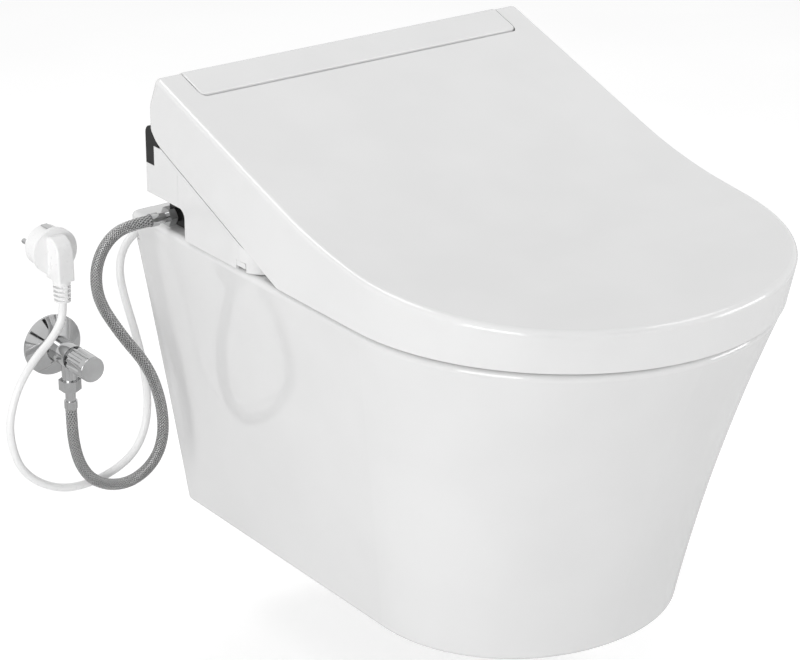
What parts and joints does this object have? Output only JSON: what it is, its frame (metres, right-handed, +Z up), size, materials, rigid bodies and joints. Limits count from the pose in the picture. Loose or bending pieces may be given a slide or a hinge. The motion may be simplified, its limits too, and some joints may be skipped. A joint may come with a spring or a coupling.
{
  "type": "wall-hung bidet toilet",
  "caption": "Wall-hung ceramic toilet pan with an electric bidet seat, its braided water hose, chrome angle stop valve and mains lead with plug.",
  "frame": {"origin": "on the wall face of the pan, midway between the two wall bolt holes", "axes": "+Z up, the front of the toilet faces -Y, +X is the right-hand side for someone who faces it; the wall is the plane y = 0"},
  "size_m": [0.5278, 0.576, 0.4283],
  "materials": {
    "glazed_ceramic": "gloss white glaze",
    "white_gloss": "gloss white moulding",
    "dark_plastic": "satin dark grey",
    "grey_plastic": "satin grey",
    "white_plastic": "satin white",
    "soft_rubber": "soft light grey",
    "heater_film": "amber film",
    "clear_pipe": "milky",
    "board_green": "green lacquer",
    "chrome": "polished chrome",
    "steel": "plain steel",
    "steel_braid": "fine wire braid"
  },
  "bodies": {
    "pan_and_unit": {"ceramic_pan": "glazed_ceramic", "mounting_plate": "grey_plastic", "plate_bolts": "steel", "bolt_sleeves": "soft_rubber", "bolt_nuts": "white_plastic", "base_tray": "grey_plastic", "front_housing": "white_gloss", "rear_housing": "white_gloss", "rear_panel": "dark_plastic", "top_cover": "white_gloss", "hinge_pins": "steel", "hinge_dampers": "dark_plastic", "nozzle_guide": "grey_plastic", "nozzle_motor": "dark_plastic", "water_heater": "grey_plastic", "solenoid_valve": "grey_plastic", "water_pipe": "clear_pipe", "fan_housing": "dark_plastic", "odour_filter": "dark_plastic", "control_board": "board_green", "board_components": "dark_plastic", "power_supply": "dark_plastic", "water_inlet": "dark_plastic", "inlet_nut": "chrome", "hose_tails": "chrome", "hose_ferrules": "chrome", "supply_hose": "steel_braid", "valve_body": "chrome", "valve_gland_nut": "chrome", "valve_nut": "chrome", "wall_nipple": "chrome", "wall_rosette": "chrome", "valve_screw": "chrome", "cord_gland": "white_plastic", "power_cord": "white_plastic", "plug_body": "white_plastic", "plug_pins": "chrome", "plug_earth_clips": "chrome"},
    "seat": {"seat_shell": "white_gloss", "seat_underplate": "grey_plastic", "seat_heater": "heater_film", "seat_bumpers": "soft_rubber"},
    "lid": {"lid": "white_gloss", "lid_bumpers": "soft_rubber"},
    "nozzle": {"nozzle_wand": "white_plastic", "nozzle_tip": "white_plastic", "nozzle_rack": "grey_plastic"},
    "pinion": {"nozzle_pinion": "grey_plastic"},
    "impeller": {"fan_impeller": "dark_plastic"},
    "knob": {"valve_knob": "chrome", "valve_spindle": "chrome"},
    "release": {"release_button": "white_gloss"},
    "button_front": {"side_button_front": "white_gloss"},
    "button_rear": {"side_button_rear": "white_gloss"}
  },
  "joints": [
    {"name": "seat_hinge", "type": "hinge", "parent": "pan_and_unit", "child": "seat", "pos_m": [0, -0.062, 0.188], "axis": [-1, 0, 0], "range_deg": [0, 98]},
    {"name": "lid_hinge", "type": "hinge", "parent": "seat", "child": "lid", "pos_m": [0, -0.062, 0.188], "axis": [1, 0, 0], "range_deg": [-103, 0]},
    {"name": "nozzle_slide", "type": "slide", "parent": "pan_and_unit", "child": "nozzle", "axis": [0, -0.866, -0.5], "range_m": [0, 0.09]},
    {"name": "pinion_turn", "type": "hinge", "parent": "pan_and_unit", "child": "pinion", "pos_m": [0, -0.14569, 0.10181], "axis": [1, 0, 0], "range_deg": [0, 650]},
    {"name": "fan_spin", "type": "hinge", "parent": "pan_and_unit", "child": "impeller", "pos_m": [0.122, -0.15, 0.105], "axis": [0, 0, 1], "continuous": true},
    {"name": "knob_turn", "type": "hinge", "parent": "pan_and_unit", "child": "knob", "pos_m": [-0.272, -0.058, -0.025], "axis": [0, 1, 0], "range_deg": [0, 1080]},
    {"name": "release_press", "type": "slide", "parent": "pan_and_unit", "child": "release", "axis": [1, 0, 0], "range_m": [0, 0.004], "stiffness_N_per_m": 500, "springref_m": -0.002},
    {"name": "button_front_press", "type": "slide", "parent": "pan_and_unit", "child": "button_front", "axis": [-1, 0, 0], "range_m": [0, 0.0012], "stiffness_N_per_m": 600, "springref_m": -0.001},
    {"name": "button_rear_press", "type": "slide", "parent": "pan_and_unit", "child": "button_rear", "axis": [-1, 0, 0], "range_m": [0, 0.0012], "stiffness_N_per_m": 600, "springref_m": -0.001}
  ],
  "couplings": [
    {"joint": "pinion_turn", "follows": "nozzle_slide", "rad_per_m": 125}
  ]
}
